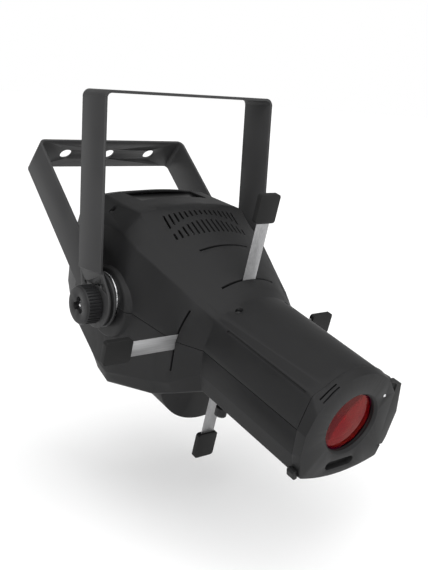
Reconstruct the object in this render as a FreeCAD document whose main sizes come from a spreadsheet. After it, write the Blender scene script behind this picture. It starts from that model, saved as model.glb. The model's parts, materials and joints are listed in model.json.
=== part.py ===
import FreeCAD, Part
import math
import os

# Ellipsoidal spotlight with a twin bracket, millimetres.
#
# Row frame: the origin is the centre of the clamp bolt hole, on the top face of the front
# bracket. +Z is up, +X runs along the tilt axis and the lens looks towards -Y.
#
# The lamp is drawn in its own frame and then tilted: x across, y backwards and z up, with the
# tilt axis along x a little ahead of its origin. "Forward" below is minus y.

V = FreeCAD.Vector
doc = FreeCAD.newDocument("Spotlight")
sheet = doc.addObject("Spreadsheet::Sheet", "Dimensions")

DIMENSIONS = {
    # brackets
    "strap_width": 44, "strap_thickness": 3, "strap_bend_radius": 8,
    "front_half_width": 108, "front_height": 214.4, "front_offset": 8,
    "rear_half_width": 99.4, "rear_height": 209.2, "rear_offset": 3.3, "rear_lean": 47,
    "end_radius": 29, "end_rise": 4, "end_joggle": 1.6, "joggle_height": 33,
    "clamp_hole_radius": 7.1, "clamp_hole_pitch": 57.5, "stop_hole_radius": 2.2,
    # pivot
    "lamp_tilt": 13.86, "pivot_forward": 8.5, "pivot_rise": -1, "pivot_bolt_radius": 5,
    "pivot_clearance": 0.35, "boss_reach": 92, "boss_radius": 36, "boss_foot_radius": 52,
    "disc_radius": 25, "knob_radius": 20.2, "knob_depth": 18, "knob_collar_radius": 15,
    "knob_collar_depth": 1.8, "knob_teeth": 36, "knob_running_gap": 0.06,
    # optics
    "axis_height": 4, "opening_radius": 29, "rod_radius": 2.5, "rod_reach": 43.5,
    "rod_running_gap": 0.06, "gate_window": 25, "gate_sheet": 1.5,
    # shells
    "wall": 2.5, "seam_height": 4.5, "seam_gap": 0.8, "barrel_front": 270,
    "collar_front": 281.3, "belly_radius": 64, "belly_centre": -48, "belly_front": 88,
    # shutters
    "blade_width": 16.2, "blade_thickness": 1, "blade_plate": 52, "blade_slot": 66,
    "blade_slot_width": 2.4, "handle_width": 24.2, "handle_length": 29.3,
    "handle_thickness": 6, "handle_grip": 14, "handle_corner": 3, "blade_stack": 1.6, "blade_plane": 107.6,
    # cooling and rear
    "fan_side": 80, "fan_depth": 20, "fan_height": 30, "rotor_radius": 36, "fin_count": 15,
    "rear_panel": 118, "button_radius": 3.6, "tab_hole": 6.5,
}

# Cross-sections of the lamp housing, from the rear to the lens end. For each: how far forward
# it is, the crown on the centre line, the roof edge, the shoulder crease, the seam's
# half-width, how much the side bows out, the lower ledge, the bottom edge and the underside.
STATIONS = {
    "back": (-118, 71, 47, 66, 60, 51, 66, 0, 63, -40, 49, -58, -62),
    "rear": (-65, 93, 64, 88, 82, 68, 85, 2, 84, -50, 62, -74, -80),
    "roof": (5, 103, 66, 95, 84, 74, 88, 1, 91, -70, 85, -84, -86),
    "flank": (30, 95, 65, 79, 83, 69, 88, 1, 91, -73, 88, -86, -88),
    "neck": (90, 74, 56, 57, 64, 51, 78, 2, 77, -51, 74, -67, -70),
    "gate": (110, 67.5, 52, 48, 58, 45, 74, 3, 71, -42, 64, -56, -60),
    "step": (133, 56.6, 45, 41, 50, 36.5, 57, 1, 54, -22, 47, -43, -47.5),
    "nose": (270, 56.6, 37, 43.5, 50, 36.5, 57, 1, 54, -22, 47, -43, -47.5),
}
STATION_KEYS = ("forward", "crown", "roof_x", "roof_z", "crease_x", "crease_z", "seam_x", "bow",
                "ledge_x", "ledge_z", "foot_x", "foot_z", "keel")
for station, values in STATIONS.items():
    for key, value in zip(STATION_KEYS, values):
        DIMENSIONS[f"{station}_{key}"] = value

for row, (alias, value) in enumerate(DIMENSIONS.items(), start=1):
    sheet.set(f"A{row}", alias)
    sheet.set(f"B{row}", str(value))
    sheet.setAlias(f"B{row}", alias)
doc.recompute()


def dim(alias):
    """A driving dimension, read back from the sheet."""
    return float(sheet.get(alias))


def bind(thing, prop, size):
    """Set a property to a number, or tie it to the sheet with an expression."""
    if isinstance(size, str):
        thing.setExpression(prop, size)
    else:
        setattr(thing, prop, size)


NO_TURN = FreeCAD.Rotation()
TO_X = FreeCAD.Rotation(V(0, 1, 0), 90)
TO_MINUS_X = FreeCAD.Rotation(V(0, 1, 0), -90)
TO_FRONT = FreeCAD.Rotation(V(1, 0, 0), 90)
DOWN = FreeCAD.Rotation(V(1, 0, 0), 180)
SUB_PARTS = []
AXIS = dim("axis_height")


def at(x, forward, z):
    """A point of the lamp frame."""
    return V(x, -forward, z)


PIVOT = V(0, -dim("front_offset"), -dim("front_height"))
FRONT_FRAME = FreeCAD.Placement(PIVOT, NO_TURN)
REAR_FRAME = FreeCAD.Placement(PIVOT, FreeCAD.Rotation(V(1, 0, 0), -dim("rear_lean")))
TILT = FreeCAD.Rotation(V(1, 0, 0), dim("lamp_tilt"))
LAMP_PIVOT = at(0, dim("pivot_forward"), dim("pivot_rise"))
LAMP_FRAME = FreeCAD.Placement(PIVOT - TILT.multVec(LAMP_PIVOT), TILT)
PIVOT_FRAME = FreeCAD.Placement(PIVOT, TILT)


def keep(part, label, frame):
    """Name a finished sub-part and put it in its place."""
    part.Label = label
    part.Placement = frame.multiply(part.Placement)
    SUB_PARTS.append(part)
    return part


def box(corner, size, turn=NO_TURN):
    """A box from its lowest corner."""
    solid = doc.addObject("Part::Box", "Block")
    for prop, length in zip(("Length", "Width", "Height"), size):
        bind(solid, prop, length)
    solid.Placement = FreeCAD.Placement(corner, turn)
    return solid


def slab(x0, x1, forward0, forward1, z0, z1):
    """A box of the lamp frame between two values on each axis."""
    return box(at(x0, forward1, z0), (x1 - x0, forward1 - forward0, z1 - z0))


def rod(base, turn, radius, height):
    """A cylinder from the centre of its base."""
    solid = doc.addObject("Part::Cylinder", "Round")
    bind(solid, "Radius", radius)
    bind(solid, "Height", height)
    solid.Placement = FreeCAD.Placement(base, turn)
    return solid


def cone(base, turn, radius1, radius2, height):
    """A cone frustum from the centre of its base."""
    solid = doc.addObject("Part::Cone", "Taper")
    bind(solid, "Radius1", radius1)
    bind(solid, "Radius2", radius2)
    bind(solid, "Height", height)
    solid.Placement = FreeCAD.Placement(base, turn)
    return solid


def fuse(*solids):
    """One boolean union, or the only solid there is."""
    if len(solids) == 1:
        return solids[0]
    union = doc.addObject("Part::MultiFuse", "Union")
    union.Shapes = list(solids)
    return union


def group(*solids):
    """Several separate solids in one sub-part."""
    compound = doc.addObject("Part::Compound", "Group")
    compound.Links = list(solids)
    return compound


def cut(base, *tools):
    """A boolean difference."""
    result = doc.addObject("Part::Cut", "Difference")
    result.Base = base
    result.Tool = fuse(*tools)
    return result


def common(first, second):
    """A boolean intersection."""
    result = doc.addObject("Part::Common", "Overlap")
    result.Base = first
    result.Tool = second
    return result


def sketch_on(body, role, offset=None):
    """A sketch on one of the body's origin planes, moved along the plane's normal."""
    sketch = body.newObject("Sketcher::SketchObject", "Outline")
    plane = [feature for feature in body.Origin.OriginFeatures if feature.Role == role][0]
    sketch.AttachmentSupport = (plane, [""])
    sketch.MapMode = "FlatFace"
    if offset is not None:
        bind(sketch, "AttachmentOffset.Base.z", offset)
    return sketch


def draw(sketch, edges):
    """Edges are pairs (line) or triples (arc through the middle point) of flat points."""
    for points in edges:
        ends = [V(x, y, 0) for x, y in points]
        sketch.addGeometry(Part.LineSegment(*ends) if len(ends) == 2 else Part.Arc(*ends))


def closed(points):
    """The straight edges of a closed polygon."""
    return [(points[i], points[(i + 1) % len(points)]) for i in range(len(points))]


def flat_curve(points):
    """The line or the three-point arc through flat points."""
    ends = [V(x, y, 0) for x, y in points]
    return Part.LineSegment(*ends) if len(ends) == 2 else Part.Arc(*ends)


def point_on(points, share):
    """A flat point part of the way along a line or an arc."""
    curve = flat_curve(points)
    spot = curve.value(curve.FirstParameter + (curve.LastParameter - curve.FirstParameter) * share)
    return spot.x, spot.y


def heading(points, share):
    """The direction of travel at the start (0) or at the end (1) of a line or an arc."""
    curve = flat_curve(points)
    ahead = curve.tangent(curve.LastParameter if share else curve.FirstParameter)[0]
    return V(ahead.x, ahead.y, 0)


def rounded(edges, radii):
    """A closed outline with round corners; each radius is for the corner that starts its edge."""
    lengths = [flat_curve(edge).length() for edge in edges]
    turns = [heading(edges[i - 1], 1).getAngle(heading(edges[i], 0)) for i in range(len(edges))]
    cuts = [radius * math.tan(turn / 2) for radius, turn in zip(radii, turns)]
    outline = []
    for i, edge in enumerate(edges):
        first, last = cuts[i] / lengths[i], 1 - cuts[(i + 1) % len(edges)] / lengths[i]
        if radii[i]:
            start = V(*point_on(edges[i - 1], 1 - cuts[i] / lengths[i - 1]), 0)
            end = V(*point_on(edge, first), 0)
            corner = V(*edge[0], 0)
            depth = radii[i] * (1 / math.cos(turns[i] / 2) - 1)
            middle = corner + ((start + end) / 2 - corner).normalize() * depth
            outline.append(((start.x, start.y), (middle.x, middle.y), (end.x, end.y)))
        shares = (first, last) if len(edge) == 2 else (first, (first + last) / 2, last)
        outline.append(tuple(point_on(edge, share) for share in shares))
    return outline


def pad(role, edges, length, offset="0", midplane=False):
    """A body with one outline padded along the plane's normal."""
    body = doc.addObject("PartDesign::Body", "Body")
    sketch = sketch_on(body, role, offset)
    draw(sketch, edges)
    feature = body.newObject("PartDesign::Pad", "Pad")
    feature.Profile = sketch
    feature.Midplane = midplane
    bind(feature, "Length", length)
    return body


def revolve(edges, role, axis_name, offset="0"):
    """A body turned from an outline about an axis of its sketch."""
    body = doc.addObject("PartDesign::Body", "Body")
    sketch = sketch_on(body, role, offset)
    draw(sketch, edges)
    feature = body.newObject("PartDesign::Revolution", "Revolution")
    feature.Profile = sketch
    feature.ReferenceAxis = (sketch, [axis_name])
    feature.Angle = 360
    return body


def turned(edges, centre_z=AXIS):
    """A solid of revolution about the optical axis; edges hold (forward, radius) points."""
    body = revolve(edges, "XY_Plane", "H_Axis")
    body.Placement = FreeCAD.Placement(V(0, 0, centre_z), FreeCAD.Rotation(V(0, 0, 1), -90))
    return group(body)


def loft(outlines):
    """A body through several outlines; each is (forward expression, edges)."""
    body = doc.addObject("PartDesign::Body", "Body")
    sketches = []
    for forward, edges in outlines:
        sketch = sketch_on(body, "XZ_Plane", forward)
        draw(sketch, edges)
        sketches.append(sketch)
    feature = body.newObject("PartDesign::AdditiveLoft", "Loft")
    feature.Profile = sketches[0]
    feature.Sections = sketches[1:]
    feature.Ruled = True
    return body


def inset(points, distance):
    """Every corner of a closed counter-clockwise polygon moved inwards by a wall thickness."""
    moved = []
    for i, (x, z) in enumerate(points):
        (x0, z0), (x1, z1) = points[i - 1], points[(i + 1) % len(points)]
        before = math.hypot(x - x0, z - z0)
        after = math.hypot(x1 - x, z1 - z)
        n0 = (-(z - z0) / before, (x - x0) / before)
        n1 = (-(z1 - z) / after, (x1 - x) / after)
        stretch = distance / (1 + n0[0] * n1[0] + n0[1] * n1[1])
        moved.append((x + (n0[0] + n1[0]) * stretch, z + (n0[1] + n1[1]) * stretch))
    return moved


# ---------------------------------------------------------------- brackets

def bracket(half_width, height, offset, label, frame):
    """A bent steel strap with a joggled round end at each pivot."""
    width, thick, bend = dim("strap_width"), dim("strap_thickness"), dim("strap_bend_radius")
    half, top, middle = dim(half_width), dim(height), dim(offset)
    joggle, low, radius, rise = (dim("end_joggle"), dim("joggle_height"), dim("end_radius"),
                                 dim("end_rise"))
    corner = bend * (1 - math.sqrt(0.5))
    inner, roof, tight = half - thick, top - thick, bend - thick
    nick = tight * (1 - math.sqrt(0.5))
    profile = [
        ((-half, low), (-half, top - bend)),
        ((-half, top - bend), (-half + corner, top - corner), (-half + bend, top)),
        ((-half + bend, top), (half - bend, top)),
        ((half - bend, top), (half - corner, top - corner), (half, top - bend)),
        ((half, top - bend), (half, low)), ((half, low), (inner, low)),
        ((inner, low), (inner, roof - tight)),
        ((inner, roof - tight), (inner - nick, roof - nick), (inner - tight, roof)),
        ((inner - tight, roof), (tight - inner, roof)),
        ((tight - inner, roof), (nick - inner, roof - nick), (-inner, roof - tight)),
        ((-inner, roof - tight), (-inner, low)), ((-inner, low), (-half, low)),
    ]
    strap = pad("XZ_Plane", profile, "Dimensions.strap_width", midplane=True)
    strap.Placement = FreeCAD.Placement(V(0, middle, 0), NO_TURN)
    near, far = middle - width / 2, middle + width / 2
    spread = math.radians(25)
    side_y, side_z = radius * math.cos(spread), rise + radius * math.sin(spread)
    plate = [((near, low), (-side_y, side_z)),
             ((-side_y, side_z), (0, rise - radius), (side_y, side_z)),
             ((side_y, side_z), (far, low)), ((far, low), (near, low))]
    solids = [group(strap)]
    for side in (-1, 1):
        end = pad("YZ_Plane", plate, "Dimensions.strap_thickness")
        outer_face = half - joggle if side > 0 else joggle - half
        end.Placement = FreeCAD.Placement(V(outer_face - (thick if side > 0 else 0), 0, 0), NO_TURN)
        fold_x = half - thick - joggle if side > 0 else -half
        solids += [group(end), box(V(fold_x, near, low), (thick + joggle, width, 2.5))]
    tools = [rod(V(-half - 5, 0, 0), TO_X, "Dimensions.pivot_bolt_radius + Dimensions.pivot_clearance",
                 2 * half + 10)]
    for step in (-1, 0, 1):
        tools.append(rod(V(step * dim("clamp_hole_pitch"), middle, top - 10), NO_TURN,
                         "Dimensions.clamp_hole_radius", 20))
    for y, z in STOP_HOLES:
        tools.append(rod(V(-half - 5, y, z), TO_X, "Dimensions.stop_hole_radius", 2 * half + 10))
    return keep(cut(fuse(*solids), *tools), label, frame)


# Two small holes in each bracket end, as (y, z) from the pivot.
STOP_HOLES = ((17, 19), (-15, 21))
bracket("front_half_width", "front_height", "front_offset", "front_bracket", FRONT_FRAME)
bracket("rear_half_width", "rear_height", "rear_offset", "rear_bracket", REAR_FRAME)

# ---------------------------------------------------------------- pivot hardware

bolt_hole = "Dimensions.pivot_bolt_radius + Dimensions.pivot_clearance"
rear_outer = dim("rear_half_width") - dim("end_joggle")
rear_inner = rear_outer - dim("strap_thickness")
front_inner = dim("front_half_width") - dim("end_joggle") - dim("strap_thickness")
front_outer = front_inner + dim("strap_thickness")


def on_both_sides(make):
    """The same solid on the left and on the right, from a function of the side."""
    return [make(-1), make(1)]


def across(side, near, length, radius, bore=None, far_radius=None):
    """A disc or ring on the tilt axis, starting at a distance from the middle."""
    turn = TO_X if side > 0 else TO_MINUS_X
    if far_radius is None:
        solid = rod(V(side * near, 0, 0), turn, radius, length)
    else:
        solid = cone(V(side * near, 0, 0), turn, radius, far_radius, length)
    if bore is None:
        return solid
    return cut(solid, rod(V(side * (near - 1), 0, 0), turn, bore, length + 2))


keep(group(*on_both_sides(lambda side: across(
    side, rear_outer + 0.1, front_inner - rear_outer - 0.2, 24, bolt_hole))),
    "bracket_spacers", FRONT_FRAME)


def friction_disc(side):
    """A bright plate on the boss, set a little above the tilt axis."""
    near, turn = side * dim("boss_reach"), TO_X if side > 0 else TO_MINUS_X
    plate = rod(V(near, 1.5, 7), turn, "Dimensions.disc_radius", rear_inner - dim("boss_reach") - 0.2)
    return cut(plate, rod(V(near - side, 0, 0), turn, "Dimensions.pivot_bolt_radius", 6))


keep(group(*on_both_sides(friction_disc)), "friction_discs", PIVOT_FRAME)


def pivot_bolt(side):
    """A stud with a square shoulder inside the boss and a domed tip outside the knob."""
    shank = across(side, 84, front_outer + dim("knob_depth") - 84 - 4, "Dimensions.pivot_bolt_radius")
    head = across(side, 78, 6, 9)
    return fuse(shank, head)


keep(group(*on_both_sides(pivot_bolt)), "pivot_bolts", PIVOT_FRAME)


def knob(side):
    """A toothed clamping knob with a three-lobed well in its face."""
    collar = dim("knob_collar_depth")
    near = front_outer + 0.2
    depth = dim("knob_depth") - collar
    radius = dim("knob_radius")
    grip = across(side, near + collar, depth - 2, "Dimensions.knob_radius")
    face = across(side, near + dim("knob_depth") - 2, 2, "Dimensions.knob_radius", None, radius - 1.6)
    foot = across(side, near, collar, "Dimensions.knob_collar_radius")
    turn = TO_X if side > 0 else TO_MINUS_X
    tools = [rod(V(side * (near - 1), 0, 0), turn,
                 "Dimensions.pivot_bolt_radius + Dimensions.knob_running_gap", dim("knob_depth") + 2)]
    well = near + dim("knob_depth") - 5
    for lobe in range(3):
        angle = math.radians(90 + 120 * lobe)
        y, z = 5.5 * math.cos(angle), 5.5 * math.sin(angle)
        tools.append(rod(V(side * well, y, z), turn, 4.2, 6))
    teeth = int(dim("knob_teeth"))
    for tooth in range(teeth):
        angle = 2 * math.pi * tooth / teeth
        y, z = radius * math.cos(angle), radius * math.sin(angle)
        tools.append(rod(V(side * (near + collar - 0.5), y, z), turn, 0.8, depth - 1.5))
    return cut(fuse(grip, face, foot), *tools)


keep(knob(-1), "left_knob", PIVOT_FRAME)
keep(knob(1), "right_knob", PIVOT_FRAME)

# ---------------------------------------------------------------- housing shells

LEFTOVER = 1.0


def upper_points(name):
    """Corners of the upper half of a station, counter-clockwise from the right seam."""
    value = {key: dim(f"{name}_{key}") for key in STATION_KEYS}
    seam = dim("seam_height") + dim("seam_gap") / 2
    bow = (value["seam_x"] + value["crease_x"]) / 2 + value["bow"]
    right = [(value["seam_x"], seam), (bow, (seam + value["crease_z"]) / 2),
             (value["crease_x"], value["crease_z"]), (value["roof_x"], value["roof_z"])]
    return right + [(0, value["crown"])] + [(-x, z) for x, z in reversed(right)]


def lower_points(name):
    """Corners of the lower half of a station, counter-clockwise from the left seam."""
    value = {key: dim(f"{name}_{key}") for key in STATION_KEYS}
    seam = dim("seam_height") - dim("seam_gap") / 2
    left = [(-value["seam_x"], seam), (-value["ledge_x"], value["ledge_z"]),
            (-value["foot_x"], value["foot_z"])]
    return left + [(0, value["keel"])] + [(-x, z) for x, z in reversed(left)]


def upper_edges(points, crease=0, roof=0):
    """Bowed sides, flat shoulders and an arched roof, with rounded creases."""
    p = points
    return rounded([(p[0], p[1], p[2]), (p[2], p[3]), (p[3], p[4], p[5]), (p[5], p[6]),
                    (p[6], p[7], p[8]), (p[8], p[0])], (0, crease, roof, roof, crease, 0))


def lower_edges(points, ledge=0, foot=0):
    """Flat sides and a slightly rounded underside, with rounded creases."""
    p = points
    return rounded([(p[0], p[1]), (p[1], p[2]), (p[2], p[3], p[4]), (p[4], p[5]), (p[5], p[6]),
                    (p[6], p[0])], (0, ledge, foot, foot, ledge, 0))


def hollow(points, open_z):
    """The cavity of a half station, carried past the seam so that the shell is open there."""
    inner = inset(points, dim("wall"))
    (x_first, _), (x_last, _) = inner[0], inner[-1]
    inner[0] = (x_first, open_z)
    inner[-1] = (x_last, open_z)
    return inner


def half_shell(names, points_of, edges_of, open_z, radii):
    """An outer loft and the cavity inside it, both through the same stations."""
    outer = loft([(f"Dimensions.{name}_forward", edges_of(points_of(name), *radii)) for name in names])
    cavity = []
    for name in names:
        reach = f"Dimensions.{name}_forward"
        if name == names[0]:
            reach += f" - {LEFTOVER}"
        if name == names[-1]:
            reach += f" + {LEFTOVER}"
        cavity.append((reach, edges_of(hollow(points_of(name), open_z))))
    return outer, loft(cavity)


BODY = ("rear", "roof", "flank", "neck", "gate", "step", "nose")
seam_top = dim("seam_height") + dim("seam_gap") / 2
seam_bottom = dim("seam_height") - dim("seam_gap") / 2
upper_outer, upper_cavity = half_shell(BODY, upper_points, upper_edges, seam_top - LEFTOVER, (6, 4))
lower_outer, lower_cavity = half_shell(BODY, lower_points, lower_edges, seam_bottom + LEFTOVER, (4, 4))


def boss(side):
    """The round boss that carries the pivot, blended into the shell by a hollow curve."""
    reach, top, foot = dim("boss_reach"), dim("boss_radius"), dim("boss_foot_radius")
    root = reach - 14
    outline = [((root, 0), (root, foot)), ((root, foot), (reach - 8, top + 4.5), (reach - 2.5, top + 1.2)),
               ((reach - 2.5, top + 1.2), (reach - 0.7, top - 0.2), (reach, top - 2)),
               ((reach, top - 2), (reach, 0)), ((reach, 0), (root, 0))]
    body = revolve(outline, "XY_Plane", "H_Axis")
    turn = FreeCAD.Rotation(V(0, 0, 1), 0 if side > 0 else 180)
    body.Placement = FreeCAD.Placement(LAMP_PIVOT, turn)
    return group(body)


def boss_bore(side):
    """The stud's hole, with room inside for its head."""
    turn = TO_X if side > 0 else TO_MINUS_X
    start = LAMP_PIVOT + V(side * 70, 0, 0)
    head_room = rod(start, turn, 9.3, 14)
    return fuse(head_room, rod(start, turn, "Dimensions.pivot_bolt_radius + 0.02", 30))


def blade_plane(index):
    """The four blades lie one behind the other."""
    return dim("blade_plane") + index * dim("blade_stack")


SHUTTERS = ("right", "left", "bottom", "top")
DIRECTIONS = {"right": (1, 0), "left": (-1, 0), "bottom": (0, -1), "top": (0, 1)}


def blade_slots():
    """Slots through the housing wall for the blades."""
    slots = []
    length, width = dim("blade_slot"), dim("blade_slot_width")
    for index, name in enumerate(SHUTTERS):
        x, z = DIRECTIONS[name]
        low, high = 46, 90
        near, far = blade_plane(index) - width / 2, blade_plane(index) + width / 2
        if x:
            ends = sorted((x * (low + 14), x * high))
            slots.append(slab(ends[0], ends[1], near, far, AXIS - length / 2, AXIS + length / 2))
        else:
            ends = sorted((AXIS + z * low, AXIS + z * high))
            slots.append(slab(-length / 2, length / 2, near, far, ends[0], ends[1]))
    return slots


def vent_slots():
    """Two rows of long slots behind the gate, parted by an arched rib."""
    slots = []
    count, pitch, half = 15, 6.33, 1.25
    for index in range(count):
        x = (index - (count - 1) / 2) * pitch
        rib, front = 21.4 + 0.0045 * x ** 2, 47 - 0.001 * x ** 2
        slots.append(slab(x - half, x + half, 13.9, rib, 60, 120))
        slots.append(slab(x - half, x + half, rib + 6.7, front, 60, 120))
    return slots


above_seam = slab(-120, 120, -130, 300, seam_top, 140)
below_seam = slab(-120, 120, -130, 300, -140, seam_bottom)


def barrel_grooves():
    """A fine groove along each shoulder of the barrel."""
    x, z = dim("nose_crease_x"), dim("nose_crease_z")
    turn = FreeCAD.Rotation(V(0, 1, 0), 45)
    width, reach = 2.4, 110
    return [box(at(side * x - width / math.sqrt(2), dim("barrel_front") - 8, z - 1), (width, reach, width), turn)
            for side in (-1, 1)]


# Seats of the screws that hold the shells together: beside the roof, and at the barrel's root.
SHELL_SCREWS = ((-71.5, -37, 78.5), (71.5, -37, 78.5), (-31, 141, 45.5), (31, 141, 45.5))

boss_pads = fuse(*on_both_sides(boss))
boss_bores = on_both_sides(boss_bore)

upper_raw = cut(upper_outer, upper_cavity)
upper_bosses = common(boss_pads, above_seam)
roof_well = slab(-44, 44, -61, -28, 88.5, 110)
roof_floor = slab(-47, 47, -64, -25, 84.5, 88.5)
roof_patch = common(upper_outer, roof_floor)
screw_posts = [common(upper_outer, rod(at(x, forward, z - 7), NO_TURN, 5.6, 30))
               for x, forward, z in SHELL_SCREWS]
wells = [rod(at(x, forward, z), NO_TURN, 3.6, 30) for x, forward, z in SHELL_SCREWS]
upper_shell = cut(fuse(cut(upper_raw, roof_well), upper_bosses, roof_patch, *screw_posts), *boss_bores,
                  *blade_slots(), *vent_slots(), *wells, slab(-31, 31, 64.7, 67.2, 60, 90),
                  *barrel_grooves())
keep(upper_shell, "upper_shell", LAMP_FRAME)

belly_radius, belly_centre = dim("belly_radius"), dim("belly_centre")
belly_back = -40
belly_outer = rod(at(0, belly_back, belly_centre), TO_FRONT, "Dimensions.belly_radius",
                  dim("belly_front") - belly_back)
belly_inner = rod(at(0, belly_back + 2.5, belly_centre), TO_FRONT,
                  "Dimensions.belly_radius - Dimensions.wall", dim("belly_front") - belly_back - 5)
belly = cut(common(belly_outer, slab(-120, 120, -130, 300, -140, -62)), lower_cavity)
lower_raw = cut(fuse(cut(lower_outer, lower_cavity), belly), belly_inner)
lower_bosses = common(boss_pads, below_seam)
focus_slot = slab(-41.2, -34.8, 132, 172, -60, -30)
belly_vents = [slab(-30, 30, forward, forward + 3, -120, -100) for forward in range(-20, 60, 8)]
lower_shell = cut(fuse(lower_raw, lower_bosses), *boss_bores, *blade_slots(), focus_slot, *belly_vents)
keep(lower_shell, "lower_shell", LAMP_FRAME)

# ---------------------------------------------------------------- rear cover and its fittings

def ring_points(values):
    """Corners of a whole section, counter-clockwise from the lower right."""
    value = dict(zip(STATION_KEYS, values))
    right = [(value["foot_x"], value["foot_z"]), (value["ledge_x"], value["ledge_z"]),
             (value["seam_x"], dim("seam_height")), (value["crease_x"], value["crease_z"]),
             (value["roof_x"], value["roof_z"])]
    return right + [(0, value["crown"])] + [(-x, z) for x, z in reversed(right)] + [(0, value["keel"])]


def ring_edges(points, radii=(0, 0, 0, 0, 0)):
    """Straight sides, an arched roof and a rounded underside; radii run from foot to roof."""
    p = points
    return rounded([(p[0], p[1]), (p[1], p[2]), (p[2], p[3]), (p[3], p[4]), (p[4], p[5], p[6]),
                    (p[6], p[7]), (p[7], p[8]), (p[8], p[9]), (p[9], p[10]), (p[10], p[11], p[0])],
                   (*radii, *reversed(radii)))


def station_values(name):
    """All values of one station, in the order of STATION_KEYS."""
    return [dim(f"{name}_{key}") for key in STATION_KEYS]


panel_back, panel_front = -dim("rear_panel"), -dim("rear_panel") + 3
rear_ring, back_ring = ring_points(station_values("rear")), ring_points(station_values("back"))
COVER_ROUNDING = (4, 4, 0, 6, 4)
cover_outer = loft([("Dimensions.rear_forward - 0.3", ring_edges(rear_ring, COVER_ROUNDING)),
                    ("Dimensions.back_forward", ring_edges(back_ring, COVER_ROUNDING))])
cover_cavity = loft([("Dimensions.rear_forward + 1", ring_edges(inset(rear_ring, dim("wall")))),
                     ("Dimensions.back_forward + 3", ring_edges(inset(back_ring, dim("wall"))))])
fan_z = dim("fan_height")
BUTTONS = {"menu_button": 12, "down_button": 22, "up_button": 32, "enter_button": 42}
BUTTON_ROW, SOCKET_ROW = -20, -43
DATA_SOCKETS = {"data_input_socket": -40, "data_output_socket": -12.5}
POWER_SOCKETS = {"power_inlet": 13.5, "power_outlet": 40.5}
FUSE_X = 55


def through_panel(x, z, radius):
    """A round tool along the lamp's axis through the rear panel."""
    return rod(at(x, panel_back - 4, z), TO_FRONT, radius, 10)


panel_tools = []
for bar in range(-4, 5):
    reach = math.sqrt(35 ** 2 - (bar * 7.6) ** 2)
    panel_tools.append(slab(-reach, reach, panel_back - 2, panel_front + 2,
                            fan_z + bar * 7.6 - 2.3, fan_z + bar * 7.6 + 2.3))
for x in BUTTONS.values():
    panel_tools.append(through_panel(x, BUTTON_ROW, dim("button_radius") + 0.3))
for x in DATA_SOCKETS.values():
    panel_tools.append(through_panel(x, SOCKET_ROW, 11.2))
for x in POWER_SOCKETS.values():
    panel_tools.append(slab(x - 12.2, x + 12.2, panel_back - 2, panel_front + 2,
                            SOCKET_ROW - 9.2, SOCKET_ROW + 9.2))
panel_tools.append(through_panel(FUSE_X, BUTTON_ROW, 5.7))
panel_tools.append(slab(-44.2, -0.8, panel_back - 2, panel_front + 2, BUTTON_ROW - 7.2, BUTTON_ROW + 7.2))
keep(cut(cut(cover_outer, cover_cavity), *panel_tools), "rear_cover", LAMP_FRAME)

keep(slab(-44, -1, panel_back + 0.4, panel_back + 2.6, BUTTON_ROW - 7, BUTTON_ROW + 7),
     "display_window", LAMP_FRAME)
for label, x in BUTTONS.items():
    cap = rod(at(x, panel_back - 2, BUTTON_ROW), TO_FRONT, "Dimensions.button_radius", 6.4)
    flange = rod(at(x, panel_front + 0.4, BUTTON_ROW), TO_FRONT, "Dimensions.button_radius + 1", 1)
    keep(fuse(cap, flange), label, LAMP_FRAME)


def contacts(x, ring, near, radius, depth):
    """Three round contacts, or their holes, on a ring in a data socket."""
    angles = (math.radians(degrees) for degrees in (30, 150, 270))
    return [rod(at(x + ring * math.cos(a), near, SOCKET_ROW + ring * math.sin(a)), TO_FRONT, radius, depth)
            for a in angles]


def socket_body(x):
    """A round socket's barrel and its flange on the rear panel."""
    return fuse(rod(at(x, panel_back, SOCKET_ROW), TO_FRONT, 11, 20),
                rod(at(x, panel_back - 2, SOCKET_ROW), TO_FRONT, 13, 2))


input_x, output_x = DATA_SOCKETS["data_input_socket"], DATA_SOCKETS["data_output_socket"]
cup = rod(at(input_x, panel_back - 3, SOCKET_ROW), TO_FRONT, 9.4, 13)
pins = contacts(input_x, 5, panel_back + 1.5, 1.2, 9.5)
keep(fuse(cut(socket_body(input_x), cup), *pins), "data_input_socket", LAMP_FRAME)
groove = cut(rod(at(output_x, panel_back - 3, SOCKET_ROW), TO_FRONT, 9.4, 13),
             rod(at(output_x, panel_back - 4, SOCKET_ROW), TO_FRONT, 7.8, 15))
keep(cut(socket_body(output_x), groove, *contacts(output_x, 5, panel_back - 3, 1.4, 13)),
     "data_output_socket", LAMP_FRAME)
for label, x in POWER_SOCKETS.items():
    shell = slab(x - 12, x + 12, panel_back, panel_back + 22, SOCKET_ROW - 9, SOCKET_ROW + 9)
    flange = slab(x - 13, x + 13, panel_back - 2, panel_back, SOCKET_ROW - 11, SOCKET_ROW + 11)
    well = slab(x - 9.5, x + 9.5, panel_back - 3, panel_back + 15, SOCKET_ROW - 6.5, SOCKET_ROW + 6.5)
    tongues = [slab(x + step * 5.5 - 1, x + step * 5.5 + 1, panel_back + 5, panel_back + 16,
                    SOCKET_ROW - 2.5 + abs(step) * 2 - 2, SOCKET_ROW + 2.5 + abs(step) * 2 - 2)
               for step in (-1, 0, 1)]
    keep(fuse(cut(fuse(shell, flange), well), *tongues), label, LAMP_FRAME)
fuse_cap = rod(at(FUSE_X, panel_back - 4, BUTTON_ROW), TO_FRONT, 7, 4)
fuse_body = rod(at(FUSE_X, panel_back, BUTTON_ROW), TO_FRONT, 5.5, 20)
fuse_slot = slab(FUSE_X - 4, FUSE_X + 4, panel_back - 5, panel_back - 3, BUTTON_ROW - 0.6, BUTTON_ROW + 0.6)
keep(cut(fuse(fuse_body, fuse_cap), fuse_slot), "fuse_holder", LAMP_FRAME)

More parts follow.
